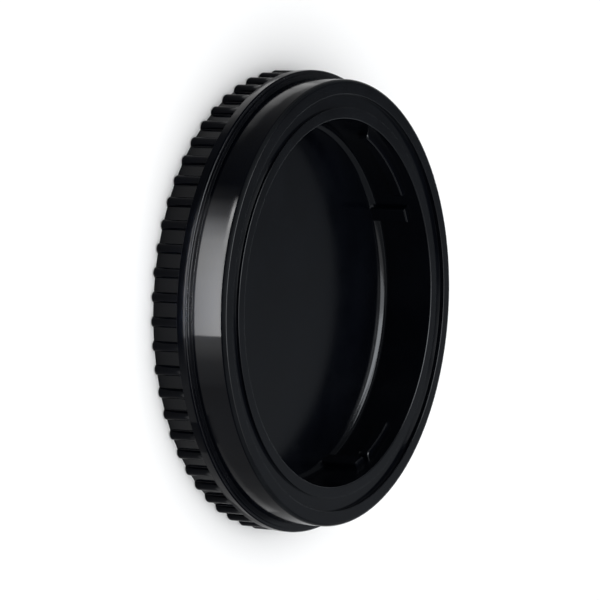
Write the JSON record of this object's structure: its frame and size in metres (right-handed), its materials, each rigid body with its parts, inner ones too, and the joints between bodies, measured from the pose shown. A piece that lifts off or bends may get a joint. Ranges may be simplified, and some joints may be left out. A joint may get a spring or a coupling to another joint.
{
  "type": "rear lens cap",
  "caption": "Round moulded plastic cap for the back of a camera lens: a shallow cup with a bayonet mouth, a grooved rim, a smooth collar and a ribbed grip.",
  "frame": {"origin": "centre of the closed back, on the plane that the cap rests on", "axes": "+Z along the cap's axis, out of the mouth; +X midway between the upper and the lower lug"},
  "size_m": [0.069, 0.069, 0.0118],
  "materials": {
    "black_plastic": "black moulded plastic, polished on the collar and satin on the grip, the rim and the floor"
  },
  "bodies": {
    "root": {"rear_lens_cap": "black_plastic"}
  },
  "joints": []
}
